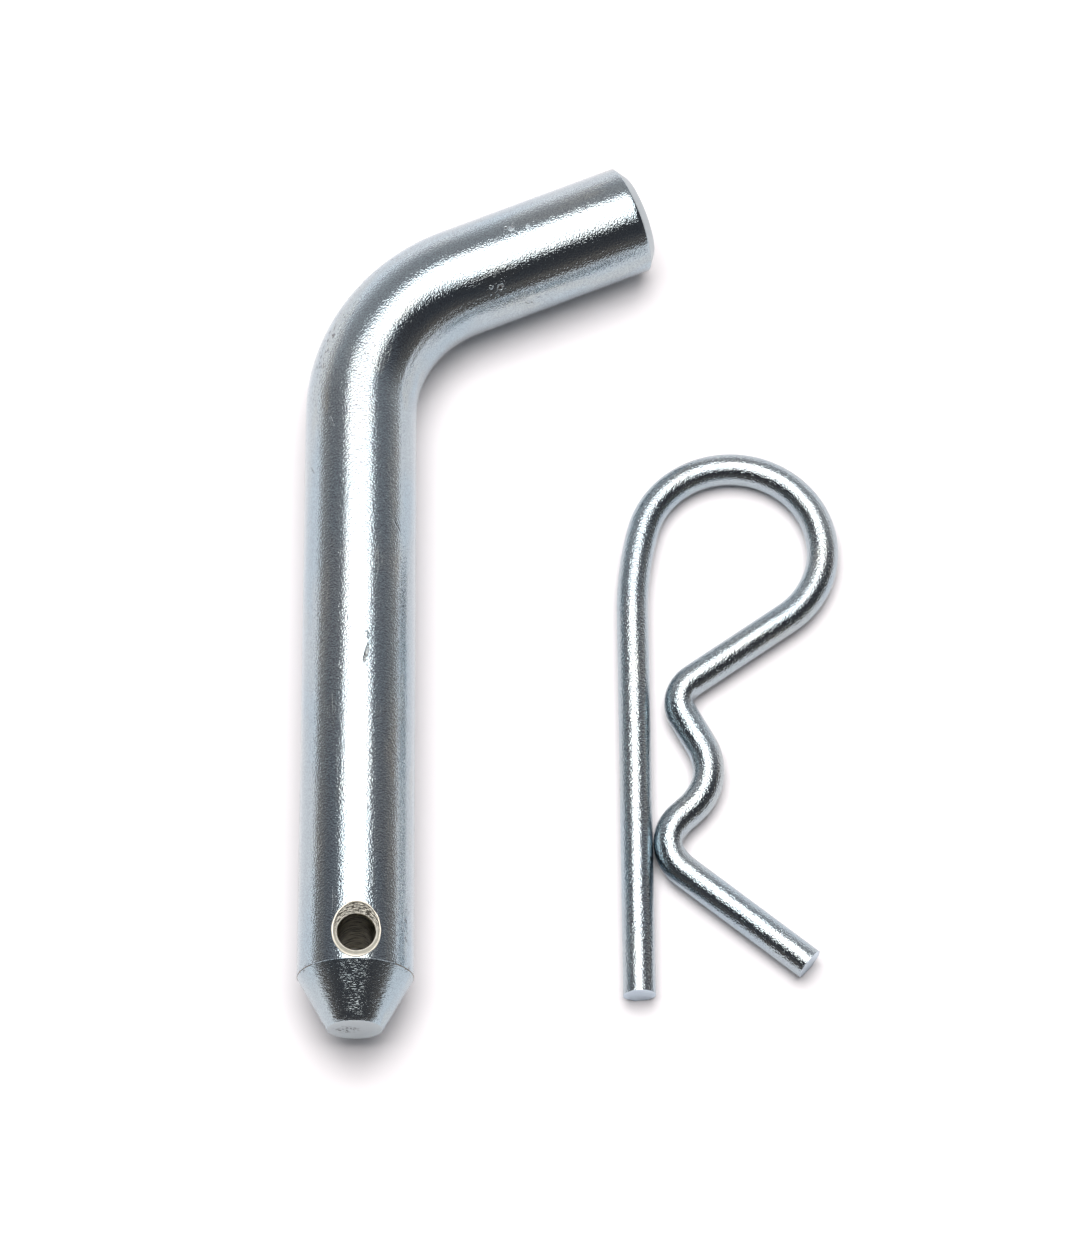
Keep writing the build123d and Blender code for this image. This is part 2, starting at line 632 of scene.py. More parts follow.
class RingStack:
    """A round bar built ring by ring in edit mode, as by hand: a circle, extruded, resized and spun."""

    def __init__(self, name: str, place: Vector, direction: Vector, radius: float, facets: int) -> None:
        """Adds the first ring.

        Args:
            name: The new object's name.
            place: The ring's middle.
            direction: Where the stack grows.
            radius: The ring's radius.
            facets: How many vertices each ring has.
        """
        deselect_all()
        turned = direction.to_track_quat("Z", "Y").to_euler()
        bpy.ops.mesh.primitive_circle_add(
            vertices=facets, radius=radius, fill_type="NOTHING", location=place, rotation=turned)
        self.object = bpy.context.object
        self.object.name = name
        bpy.ops.object.mode_set(mode="EDIT")
        self.place = place.copy()
        self.direction = direction.normalized()
        self.radius = radius

    def grow(self, distance: float, radius: Optional[float] = None) -> None:
        """Extrudes the last ring and resizes it.

        Args:
            distance: How far ahead the new ring is.
            radius: The new ring's radius, or None to keep it.
        """
        step = self.direction * distance
        bpy.ops.mesh.extrude_region_move(TRANSFORM_OT_translate={"value": step})
        self.place += step
        if radius is not None and abs(radius - self.radius) > 1e-9:
            share = radius / self.radius
            bpy.ops.transform.resize(value=(share, share, share), center_override=self.place)
            self.radius = radius

    def run(self, run: Run, step: float) -> None:
        """Extrudes or spins the last ring along a run.

        Args:
            run: The stretch of centre line.
            step: The length of one section.
        """
        sections = max(1, round(run.length / step))
        if not run.turn:
            for _ in range(sections):
                self.grow(run.length / sections)
            return
        middle = run.middle.copy()
        middle.z = self.place.z
        bpy.ops.mesh.spin(steps=sections, angle=-run.angle, center=middle, axis=UP)
        self.place = middle + Matrix.Rotation(run.angle, 3, "Z") @ (self.place - middle)
        self.direction = ahead_of(run.end_heading)

    def close(self, rings: int) -> None:
        """Closes the last ring with smaller rings and a middle point."""
        outer = self.radius
        for ring in range(rings - 1, 0, -1):
            self.grow(0.0, outer * ring / rings)
        bpy.ops.mesh.extrude_region_move()
        bpy.ops.mesh.merge(type="CENTER")

    def turn_back(self, place: Vector, direction: Vector, radius: float) -> None:
        """Takes up the open first ring again, to grow the other way.

        Args:
            place: The open ring's middle.
            direction: Where the stack now grows.
            radius: The open ring's radius.
        """
        bpy.ops.mesh.select_mode(type="EDGE")
        bpy.ops.mesh.select_all(action="DESELECT")
        mesh = bmesh.from_edit_mesh(self.object.data)
        for edge in mesh.edges:
            if edge.is_boundary:
                edge.select_set(True)
        bmesh.update_edit_mesh(self.object.data)
        self.place = place.copy()
        self.direction = direction.normalized()
        self.radius = radius

    def finish(self) -> bpy.types.Object:
        """Merges doubles, points the faces outwards and puts the place into the mesh.

        Returns:
            The object, at the origin.
        """
        bpy.ops.mesh.select_mode(type="VERT")
        bpy.ops.mesh.select_all(action="SELECT")
        bpy.ops.mesh.remove_doubles(threshold=1e-7)
        bpy.ops.mesh.normals_make_consistent(inside=False)
        bpy.ops.object.mode_set(mode="OBJECT")
        bpy.ops.object.transform_apply(location=True, rotation=True, scale=True)
        return self.object


def places_of(piece: bpy.types.Object) -> np.ndarray:
    """Vertex places of a piece, one row each."""
    flat = np.zeros(len(piece.data.vertices) * 3, np.float32)
    piece.data.vertices.foreach_get("co", flat)
    return flat.reshape(-1, 3).astype(float)


def put_places(piece: bpy.types.Object, places: np.ndarray) -> None:
    """Moves a piece's vertices to new places."""
    piece.data.vertices.foreach_set("co", places.astype(np.float32).ravel())
    piece.data.update()


def write_unbent(piece: bpy.types.Object, line: CentreLine, patches: Iterable[Nick] = ()) -> None:
    """Stores where each vertex would be on the straight bar, and how worn it is, for the finish to follow.

    Args:
        piece: The piece.
        line: Its centre line.
        patches: Worn patches; their depth is how worn they are, from 0 to 1.
    """
    unbent = line.unbend(places_of(piece))
    attribute = piece.data.attributes.new(UNBENT, "FLOAT_VECTOR", "POINT")
    attribute.data.foreach_set("vector", unbent.astype(np.float32).ravel())
    worn = np.clip(dent(unbent, patches), 0.0, 1.0)
    attribute = piece.data.attributes.new(WORN, "FLOAT", "POINT")
    attribute.data.foreach_set("value", worn.astype(np.float32))


def noise_at(places: np.ndarray, size: float, seed: float) -> np.ndarray:
    """Cloudy noise, about -1 to 1, at each place."""
    shift = Vector((seed, seed * 1.7, seed * 0.3))
    return np.array([noise.noise(Vector(place) / size + shift) for place in places])


def dent(unbent: np.ndarray, nicks: Iterable[Nick]) -> np.ndarray:
    """Depth of all nicks at each point of a bar.

    Args:
        unbent: Places on the straight bar.
        nicks: The nicks.

    Returns:
        How far inwards each point goes.
    """
    around = np.degrees(np.arctan2(-unbent[:, 0], unbent[:, 1]))
    away = np.hypot(unbent[:, 0], unbent[:, 1])
    depth = np.zeros(len(unbent))
    for nick in nicks:
        ahead = unbent[:, 2] - nick.along
        beside = np.radians((around - nick.angle + 180) % 360 - 180) * away
        slant = math.radians(nick.slant)
        main = ahead * math.cos(slant) + beside * math.sin(slant)
        cross = beside * math.cos(slant) - ahead * math.sin(slant)
        inward = 0.0 if nick.out is None else (away - nick.out) / nick.width
        depth += nick.depth * np.exp(
            -8 * (main / nick.length) ** 2 - 8 * (cross / nick.width) ** 2 - 8 * inward ** 2)
    return depth


def wear(piece: bpy.types.Object, line: CentreLine, radius: float,
         nicks: Iterable[Nick], wander: float) -> None:
    """Dents a bar and lets its skin wander a little.

    Args:
        piece: The bar.
        line: Its centre line.
        radius: Its radius.
        nicks: Its dents.
        wander: How far the skin wanders in and out.
    """
    places = places_of(piece)
    unbent = line.unbend(places)
    skin = np.hypot(unbent[:, 0], unbent[:, 1]) > radius * 0.98
    depth = dent(unbent[skin], nicks)
    depth += noise_at(unbent[skin] * np.array([1.0, 1.0, 0.5]), 0.5 * radius, 3.0) * wander
    places[skin] -= line.outward(places[skin], unbent[skin]) * depth[:, None]
    put_places(piece, places)


def dress(piece: bpy.types.Object, materials: Sequence[bpy.types.Material], smooth: float) -> None:
    """Gives a piece its materials and smooth shading.

    Args:
        piece: The piece.
        materials: Its materials; faces already hold their numbers.
        smooth: The sharpest angle that is still shaded smooth, in degrees.
    """
    for material in materials:
        piece.data.materials.append(material)
    deselect_all()
    piece.select_set(True)
    bpy.context.view_layer.objects.active = piece
    bpy.ops.object.shade_smooth_by_angle(angle=math.radians(smooth))


# ---------------------------------------------------------------- the pin


@dataclass
class HitchPin:
    """Bent round pin with a coned tip, a chamfered grip end and a countersunk cross hole.

    Sizes are in metres and angles in degrees.

    Attributes:
        grip_edge_length: Length of the slope around the end of the grip arm.
        grip_edge_depth: How much smaller that slope makes the end's radius.
        hole_turn: How far the cross hole leans from upright.
        sink_width: Width and depth of each countersink.
        chatter_waves: Waves that the tool leaves around a countersink.
        seam_width: Width of the groove where the cone meets the shank.
        facets: Vertices around the bar.
        section: Length of one section of the bar.
    """

    radius: float = 15.875 / 2 * MM
    shank_length: float = 85.6 * MM
    bend_radius: float = 23.2 * MM
    bend_angle: float = 67.4
    grip_length: float = 28.1 * MM
    grip_edge_length: float = 1.4 * MM
    grip_edge_depth: float = 1.85 * MM
    tip_length: float = 7.4 * MM
    tip_face_radius: float = 7.5 / 2 * MM
    hole_from_tip: float = 11.55 * MM
    hole_radius: float = 2.5 * MM
    hole_turn: float = 3.0
    sink_width: float = 1.4 * MM
    chatter_waves: int = 19
    burr_thickness: float = 0.13 * MM
    seam_width: float = 0.11 * MM
    seam_depth: float = 0.16 * MM
    edge_round: float = 0.12 * MM
    facets: int = 144
    section: float = 0.55 * MM
    body: Body = Body.PIN
    slot: Slot = Slot.BAR

    def __post_init__(self) -> None:
        """Finds the pin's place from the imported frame."""
        low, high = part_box("hitch_pin")
        self.tip = Vector((low.x + self.radius, low.y, self.radius))
        self.shank_start = self.tip + Vector((0.0, self.tip_length, 0.0))
        self.line = CentreLine(self.shank_start, math.pi / 2)
        self.line.straight(self.shank_length)
        self.line.bend(-self.bend_radius, math.radians(90 - self.bend_angle))
        self.line.straight(self.grip_length - self.grip_edge_length)

    def bar(self) -> bpy.types.Object:
        """Models the whole bar with its tip and grip end, without the hole.

        Returns:
            The bar.
        """
        round_ = self.edge_round
        cone = math.atan2(self.radius - self.tip_face_radius, self.tip_length)
        stack = RingStack("hitch_pin_bar", self.shank_start, Vector((0, 1, 0)), self.radius, self.facets)
        for run in self.line.runs:
            stack.run(run, self.section)
        stack.grow(round_ * 0.7, self.radius - round_ * 0.3)
        ring_count = 4
        for ring in range(1, ring_count + 1):
            share = ring / ring_count
            stack.grow((self.grip_edge_length - round_) / ring_count,
                       self.radius - round_ * 0.3 - share * (self.grip_edge_depth - round_))
        stack.grow(round_ * 0.3, stack.radius - round_ * 0.7)
        stack.close(7)
        stack.turn_back(self.shank_start, Vector((0, -1, 0)), self.radius)
        stack.grow(self.seam_width, self.radius - self.seam_depth)
        start_radius = self.radius - self.seam_width * math.tan(cone)
        stack.grow(0.0, start_radius)
        end_radius = self.tip_face_radius + round_ * 0.5
        length = self.tip_length - self.seam_width - round_ * 0.6
        ring_count = 14
        for ring in range(1, ring_count + 1):
            stack.grow(length / ring_count, start_radius + (end_radius - start_radius) * ring / ring_count)
        stack.grow(round_ * 0.45, self.tip_face_radius - round_ * 0.1)
        stack.grow(round_ * 0.15, self.tip_face_radius - round_ * 0.8)
        stack.close(7)
        return stack.finish()

    def nicks(self) -> list[Nick]:
        """Broad dents and scuffs from handling and the bending tool, and the long line left by drawing.

        Returns:
            The nicks, counted along the bar from the start of the shank.
        """
        found = [
            Nick(66 * MM, -64, 1.2 * MM, 0.8 * MM, 0.07 * MM),
            Nick(121 * MM, 74, 2.2 * MM, 1.0 * MM, 0.08 * MM, 20),
            Nick(6.5 * MM, 58, 7.0 * MM, 0.7 * MM, 0.07 * MM, 6),
            Nick(4.0 * MM, 62, 4.0 * MM, 0.6 * MM, 0.06 * MM, -10),
            Nick(5.5 * MM, -50, 1.6 * MM, 0.7 * MM, 0.07 * MM, 60),
            Nick(0.0, -68, 0.8 * MM, 5.0 * MM, 0.05 * MM),
            Nick(0.0, 64, 0.8 * MM, 4.0 * MM, 0.05 * MM),
            Nick(47 * MM, 52.5, 260 * MM, 0.45 * MM, 0.045 * MM),
        ]
        for number in range(16):
            spot = noise.random_vector()
            along = (88 + number * 0.7 + 1.5 * spot.x) * MM
            found.append(Nick(along, -50 + 9 * spot.y, 0.9 * MM, 0.8 * MM, 0.04 * MM))
        return found

    def marks(self) -> tuple[Nick, ...]:
        """Small sharp marks: a gouge, scratches, lips and pits.

        Returns:
            The marks, counted like the nicks.
        """
        return (
            Nick(44.6 * MM, 10, 3.6 * MM, 0.7 * MM, 0.07 * MM, 12),
            Nick(47.4 * MM, 10, 1.4 * MM, 0.9 * MM, -0.05 * MM),
            Nick(92.5 * MM, 0, 3.0 * MM, 0.35 * MM, 0.018 * MM, 35),
            Nick(91.0 * MM, 4, 2.2 * MM, 0.3 * MM, 0.018 * MM, 10),
            Nick(81.0 * MM, -29, 2.8 * MM, 0.35 * MM, 0.03 * MM, -20),
            Nick(74.5 * MM, -56, 2.2 * MM, 0.4 * MM, 0.05 * MM, -35),
            Nick(65.0 * MM, 43, 2.6 * MM, 0.4 * MM, 0.04 * MM, -40),
            Nick(121.5 * MM, -10, 1.1 * MM, 1.0 * MM, -0.09 * MM),
            Nick(120.8 * MM, -13, 0.8 * MM, 0.7 * MM, 0.06 * MM),
            Nick(123.8 * MM, -6, 0.9 * MM, 0.8 * MM, -0.07 * MM),
            Nick(116.8 * MM, 46, 1.2 * MM, 1.0 * MM, 0.10 * MM),
            Nick(115.5 * MM, 43, 0.8 * MM, 0.7 * MM, -0.07 * MM),
        )

    def worn_patches(self) -> list[Nick]:
        """Patches where the plate is pitted, stained or scuffed."""
        return [
            Nick(92.5 * MM, -47, 13 * MM, 5.0 * MM, 1.0, 10),
            Nick(104 * MM, -55, 16 * MM, 4.0 * MM, 0.6, 8),
            Nick(6 * MM, 60, 10 * MM, 2.2 * MM, 0.9, 5),
            Nick(116.5 * MM, 45, 4 * MM, 3.0 * MM, 0.4),
            Nick(121.5 * MM, -13, 3 * MM, 2.0 * MM, 0.8),
            Nick(44.5 * MM, 12, 5 * MM, 1.2 * MM, 0.6, 12),
            Nick(92 * MM, 2, 6 * MM, 2.4 * MM, 0.4, 30),
            Nick(66 * MM, -64, 3 * MM, 1.5 * MM, 0.8),
            Nick(121 * MM, 76, 5 * MM, 2.0 * MM, 0.9),
            Nick(0.0, -66, 1.0 * MM, 7 * MM, 1.0),
            Nick(0.0, 64, 1.0 * MM, 6 * MM, 1.0),
            Nick(-7.4 * MM, -85, 4 * MM, 3.4 * MM, 1.0, out=1.1 * MM),
        ]

    def cutter(self) -> bpy.types.Object:
        """Models the drill and countersinks as the shape to cut away.

        Returns:
            The cutter.
        """
        reach = self.radius * 1.3
        sink_top = self.radius
        sink_foot = self.radius - self.sink_width
        wide = self.hole_radius + reach - sink_foot
        stack = RingStack("hole_cutter", Vector((0, 0, -reach)), UP, wide, 96)
        stack.grow(reach - sink_top, self.hole_radius + sink_top - sink_foot)
        sink_rings = 10
        for ring in range(1, sink_rings + 1):
            left = 1 - ring / sink_rings
            stack.grow(self.sink_width / sink_rings, self.hole_radius + self.sink_width * left)
        hole_rings = 60
        for ring in range(hole_rings):
            stack.grow(2 * sink_foot / hole_rings)
        for ring in range(1, sink_rings + 1):
            stack.grow(self.sink_width / sink_rings, self.hole_radius + self.sink_width * ring / sink_rings)
        stack.grow(reach - sink_top, wide)
        stack.close(2)
        stack.turn_back(Vector((0, 0, -reach)), -UP, wide)
        stack.close(2)
        cutter = stack.finish()
        places = self.chattered(places_of(cutter), sink_foot)
        put_places(cutter, self.at_hole(places))
        return cutter

    def chattered(self, places: np.ndarray, sink_foot: float) -> np.ndarray:
        """Roughens the walls of the upright cutter as the tools do.

        Args:
            places: The cutter's vertices, one row each, around the origin.
            sink_foot: How far from the middle the countersinks begin.

        Returns:
            The moved vertices: rings in the hole, and waves and lumps in the countersinks.
        """
        spread = np.hypot(places[:, 0], places[:, 1])
        angle = np.arctan2(places[:, 1], places[:, 0])
        inside = (np.abs(places[:, 2]) < self.radius + 0.5 * MM) & (spread > 1 * MM)
        share = np.clip((np.abs(places[:, 2]) - sink_foot) / self.sink_width, 0.0, 1.0)
        rings = np.sin(places[:, 2] / (0.2 * MM)) * 0.012 * MM * (share == 0)
        waves = np.sin(angle * self.chatter_waves + places[:, 2] / (0.13 * MM)) * 0.03 * MM
        shift = rings + (waves + noise_at(places, 0.6 * MM, 5.0) * 0.08 * MM) * share
        places[inside, :2] *= (1 + shift[inside] / spread[inside])[:, None]
        return places

    def at_hole(self, places: np.ndarray) -> np.ndarray:
        """Moves places from around the origin to the leaning cross hole."""
        turn = Matrix.Rotation(math.radians(self.hole_turn), 3, "Y")
        return places @ np.array(turn).T + np.array(self.tip + Vector((0, self.hole_from_tip, 0)))

    def drill(self, bar: bpy.types.Object) -> None:
        """Cuts the cross hole and its countersinks."""
        cutter = self.cutter()
        deselect_all()
        bar.select_set(True)
        bpy.context.view_layer.objects.active = bar
        cut = bar.modifiers.new("cross_hole", "BOOLEAN")
        cut.operation = "DIFFERENCE"
        cut.solver = "EXACT"
        cut.object = cutter
        bpy.ops.object.modifier_apply(modifier=cut.name)
        bpy.data.objects.remove(cutter)

    def burr(self, name: str, side: int) -> bpy.types.Object:
        """Models the thin lip that the countersinking tool throws up around a mouth of the hole.

        Args:
            name: The piece's name.
            side: 1 for the upper mouth, -1 for the lower.

        Returns:
            The finished lip.
        """
        deselect_all()
        middle = self.hole_radius + self.sink_width
        bpy.ops.mesh.primitive_torus_add(
            major_segments=160, minor_segments=10, major_radius=middle, minor_radius=self.burr_thickness)
        ring = bpy.context.object
        ring.name = name
        places = places_of(ring)
        angle = np.arctan2(places[:, 1], places[:, 0])
        thick = np.hypot(places[:, 0], places[:, 1]) - middle
        reach = np.full(len(places), middle)
        # The lip runs where the countersink's cone meets the round bar, found by repeated steps.
        for _ in range(12):
            height = np.sqrt(self.radius ** 2 - (reach * np.cos(angle)) ** 2)
            reach = self.hole_radius + height - (self.radius - self.sink_width)
        around = np.column_stack([np.cos(angle), np.sin(angle), np.full(len(angle), side)])
        wobble = noise_at(around, 0.35, 2.0)
        reach += thick * (1 + 0.4 * wobble) + wobble * 0.05 * MM
        height += (places[:, 2] + 0.03 * MM) * (1 + 0.5 * wobble)
        places = np.column_stack([reach * np.cos(angle), side * reach * np.sin(angle), side * height])
        put_places(ring, self.at_hole(places))
        write_unbent(ring, self.line)
        finish = CutSteel(name="zinc_on_" + name, metallic=0.6, tint=rgb(0.86, 0.84, 0.73), roughness=0.32)
        dress(ring, [finish.material()], smooth=60)
        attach(ring, self.body.value)
        return ring

    def mark_faces(self, bar: bpy.types.Object) -> None:
        """Numbers the materials: 0 skin, 1 cone, 2 end faces, 3 countersinks, 4 hole, 5 darker sides of the
        seam.
        """
        axis = Matrix.Rotation(math.radians(self.hole_turn), 3, "Y") @ UP
        middle = self.tip + Vector((0, self.hole_from_tip, 0))
        grip_end = self.line.end
        grip_way = ahead_of(self.line.end_heading)
        for face in bar.data.polygons:
            away = face.center - middle
            from_axis = (away - away.dot(axis) * axis).length
            outward = Vector((face.center.x - self.tip.x, 0, face.center.z - self.tip.z))
            off_skin = outward.length < self.radius - 0.02 * MM
            if from_axis < self.hole_radius + self.sink_width + 0.3 * MM and off_skin and (
                    face.center.y > self.shank_start.y):
                face.material_index = 4 if from_axis < self.hole_radius + 0.1 * MM else 3
            elif -self.seam_width * 1.1 < face.center.y - self.shank_start.y < -0.3 * self.seam_width:
                face.material_index = 5 if abs(outward.x) > 0.72 * outward.length else 1
            elif face.center.y < self.shank_start.y - 0.05 * MM:
                face.material_index = 2 if face.normal.y < -0.9 else 1
            elif (face.center - grip_end).dot(grip_way) > 0.05 * MM:
                face.material_index = 2

    def build(self) -> list[bpy.types.Object]:
        """Models and dresses the pin.

        Returns:
            The finished pin and the lips of its hole.
        """
        bar = self.bar()
        wear(bar, self.line, self.radius, self.nicks(), 0.006 * MM)
        self.drill(bar)
        write_unbent(bar, self.line, self.worn_patches())
        self.mark_faces(bar)
        lean = math.tan(math.radians(self.hole_turn))
        finishes = [
            ZincPlate(name="zinc_on_bar", marks=self.marks()),
            ZincPlate(name="zinc_on_turned_cone", roughness=0.17, painted_grain_shade=0.45, grain=0.52 * MM,
                      grain_height=0.054 * MM, grain_stretch=0.20),
            CutSteel(name="zinc_on_cut_ends"),
            Countersink(name="zinc_in_countersink", along=self.hole_from_tip - self.tip_length, lean=lean,
                        mouth=self.hole_radius, spread=3.2 * MM),
            ShadedHoleWall(name="zinc_in_hole_painted_shade"),
            CutSteel(name="dark_seam_sides", tint=rgb(0.26, 0.22, 0.17), roughness=0.5),
        ]
        dress(bar, [finish.material() for finish in finishes], smooth=32)
        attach(bar, self.body.value)
        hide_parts("hitch_pin")
        return [bar, self.burr("upper_hole_burr", 1), self.burr("lower_hole_burr", -1)]


# ---------------------------------------------------------------- the clip


@dataclass
class RClip:
    """Hairpin cotter of one round wire.

    Sizes are in metres and angles in degrees. A flank is the wire between the valley and a crest, and
    its angle is how far it leans from the straight leg.

    Attributes:
        loop_set_over: How far the loop's left side is inwards from the straight leg's line.
        shoulder_radius: Radius of the wide bend that leads from the straight leg to the loop.
        valley_below_loop: How far the valley's middle is below the loop's middle.
        valley_reach: How far the valley's wire line is from the straight leg's line, at its farthest.
        mouth_gap: Gap between the straight leg and the upper crest.
        contact_gap: Gap between the straight leg and the lower crest.
        tail_angle: How far the tail leans from the straight leg.
        end_slant: Slope of a sheared end.
        bend_share: Half the width of the stretch where the loop would bend when the spring leg opens; not
            used.
    """

    radius: float = 2.25 * MM
    leg_below_loop: float = 67.0 * MM
    loop_radius: float = 13.0 * MM
    loop_set_over: float = 1.3 * MM
    shoulder_radius: float = 49.0 * MM
    valley_below_loop: float = 33.7 * MM
    valley_radius: float = 8.0 * MM
    valley_reach: float = 15.875 / 2 * MM + 2.25 * MM
    upper_flank: float = 28.5
    lower_flank: float = 47.0
    upper_crest: float = 4.4 * MM
    lower_crest: float = 5.3 * MM
    mouth_gap: float = 1.95 * MM
    contact_gap: float = 0.05 * MM
    tail_length: float = 21.8 * MM
    tail_angle: float = 50.7
    facets: int = 64
    section: float = 0.4 * MM
    edge_round: float = 0.24 * MM
    end_slant: float = 0.02
    bend_share: float = 5.8 * MM

    def __post_init__(self) -> None:
        """Finds the clip's place and its bends."""
        low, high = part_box("clip_straight_leg")
        self.leg_end = Vector((low.x + self.radius, low.y, self.radius))
        self.loop = self.leg_end + Vector((self.loop_set_over + self.loop_radius, self.leg_below_loop, 0))
        valley_place = Vector((self.valley_reach - self.valley_radius,
                               self.leg_below_loop - self.valley_below_loop, 0))
        self.valley = self.leg_end + valley_place
        upper_x = 2 * self.radius + self.mouth_gap + self.upper_crest
        lower_x = 2 * self.radius + self.contact_gap + self.lower_crest
        self.upper = self._crest(upper_x, self.upper_crest, self.upper_flank, 1)
        self.lower = self._crest(lower_x, self.lower_crest, self.lower_flank, -1)

    def _crest(self, across: float, crest: float, flank: float, side: int) -> Vector:
        """Middle of a crest beside the valley.

        Args:
            across: How far the crest's middle is from the straight leg's line.
            crest: The crest's radius.
            flank: How far the wire between crest and valley leans from the leg, in degrees.
            side: 1 for the crest towards the loop, -1 for the other.

        Returns:
            The crest's middle.
        """
        lean = math.radians(flank)
        over = self.leg_end.x + across - self.valley.x
        rise = (self.valley_radius + crest - over * math.cos(lean)) / math.sin(lean)
        return self.valley + Vector((over, side * rise, 0))

    def _heading(self, first: Vector, turn: float, second: Vector, next_turn: float) -> float:
        """Heading of the wire that leaves one bend and enters the next.

        Args:
            first: The middle of the first bend.
            turn: Its radius, positive to the left.
            second: The middle of the next bend.
            next_turn: Its radius, positive to the left.

        Returns:
            The heading, in radians.
        """
        way = second - first
        return math.atan2(way.y, way.x) - math.asin((next_turn - turn) / way.length)

    @property
    def shoulder_over(self) -> float:
        """How far across the shoulder's middle is from the loop's middle."""
        return self.shoulder_radius - self.loop_set_over - self.loop_radius

    @property
    def shoulder_drop(self) -> float:
        """How far below the loop's middle the shoulder begins."""
        return math.sqrt((self.shoulder_radius - self.loop_radius) ** 2 - self.shoulder_over ** 2)

    def leg_line(self) -> CentreLine:
        """Straight leg, up to its shoulder."""
        return CentreLine(self.leg_end, math.pi / 2).straight(self.leg_below_loop - self.shoulder_drop)

    def loop_line(self) -> CentreLine:
        """Shoulder and whole loop."""
        shoulder_heading = math.pi / 2 - math.atan2(self.shoulder_drop, self.shoulder_over)
        last = self._heading(self.loop, -self.loop_radius, self.upper, self.upper_crest)
        line = CentreLine(self.leg_line().end, math.pi / 2)
        line.bend(-self.shoulder_radius, shoulder_heading)
        return line.bend(-self.loop_radius, last)

    def spring_line(self) -> CentreLine:
        """Crest, valley, crest and tail, from where the wire leaves the loop."""
        loop = self.loop_line()
        bends = [(self.upper, self.upper_crest), (self.valley, -self.valley_radius),
                 (self.lower, self.lower_crest)]
        line = CentreLine(loop.end, loop.end_heading)
        for number, (middle, turn) in enumerate(bends):
            enter = middle - turn * left_of(line.end_heading)
            line.straight((enter - line.end).dot(ahead_of(line.end_heading)))
            if number + 1 < len(bends):
                heading = self._heading(middle, turn, *bends[number + 1])
            else:
                heading = math.radians(self.tail_angle - 90)
            line.bend(turn, heading)
        return line.straight(self.tail_length)

    def wire(self, name: str, line: CentreLine, start_cut: bool, end_cut: bool) -> bpy.types.Object:
        """Models a length of the wire.

        Args:
            name: The piece's name.
            line: Its centre line.
            start_cut: Whether its first end is a sheared end of the real wire.
            end_cut: Whether its last end is one.

        Returns:
            The piece, closed at both ends.
        """
        stack = RingStack(name, line.start, ahead_of(line.heading), self.radius, self.facets)
        for run in line.runs:
            stack.run(run, self.section)
        self._end(stack, end_cut)
        stack.turn_back(line.start, -ahead_of(line.heading), self.radius)
        self._end(stack, start_cut)
        return stack.finish()

    def _end(self, stack: RingStack, cut: bool) -> None:
        """Closes an end, with a small round edge where the wire was sheared."""
        if cut:
            stack.grow(-self.edge_round * 0.1, self.radius - self.edge_round * 0.1)
            stack.grow(self.edge_round * 0.1, self.radius - self.edge_round * 0.5)
            stack.grow(0.0, self.radius - self.edge_round * 1.2)
        stack.close(5)

    def nicks(self, line: CentreLine) -> list[Nick]:
        """Marks that the forming pins left on the inner sides of the bends.

        Args:
            line: The spring leg's centre line.

        Returns:
            The nicks, on the inner side of each round run.
        """
        found = []
        gone = 0.0
        for run in line.runs:
            if run.turn:
                inner = -math.copysign(90.0, run.turn)
                sharp = 0.60 * MM if run.turn > 0 else 0.10 * MM
                found.append(Nick(gone + run.length * 0.5, inner, run.length * 0.6, 3.6 * MM, sharp))
                found.append(Nick(gone + run.length * 0.3, inner * 0.6, 1.2 * MM, 0.9 * MM, 0.07 * MM, 20))
            gone += run.length
        return found

    def slant_end(self, piece: bpy.types.Object, line: CentreLine, first: bool) -> None:
        """Gives a sheared end its slant and a little unevenness.

        Args:
            piece: The length of wire.
            line: Its centre line.
            first: Whether the sheared end is the line's first end rather than its last.
        """
        places = places_of(piece)
        unbent = line.unbend(places)
        at_end = np.abs(unbent[:, 2] - (0.0 if first else line.length)) < 0.3 * MM
        outwards = -ahead_of(line.heading) if first else ahead_of(line.end_heading)
        uneven = noise_at(unbent, 1.2 * MM, 4.0) * 0.07 * MM
        shift = unbent[:, 0] * self.end_slant + uneven - 0.06 * MM
        places[at_end] += np.array(outwards) * shift[at_end][:, None]
        put_places(piece, places)

    def mark_end(self, piece: bpy.types.Object, line: CentreLine, first: bool) -> None:
        """Gives the faces of a sheared end the second material.

        Args:
            piece: The length of wire.
            line: Its centre line.
            first: Whether the sheared end is the line's first end rather than its last.
        """
        end = line.start if first else line.end
        way = ahead_of(line.heading if first else line.end_heading)
        for face in piece.data.polygons:
            if abs(face.normal.dot(way)) > 0.8 and (face.center - end).length < self.radius * 1.2:
                face.material_index = 1

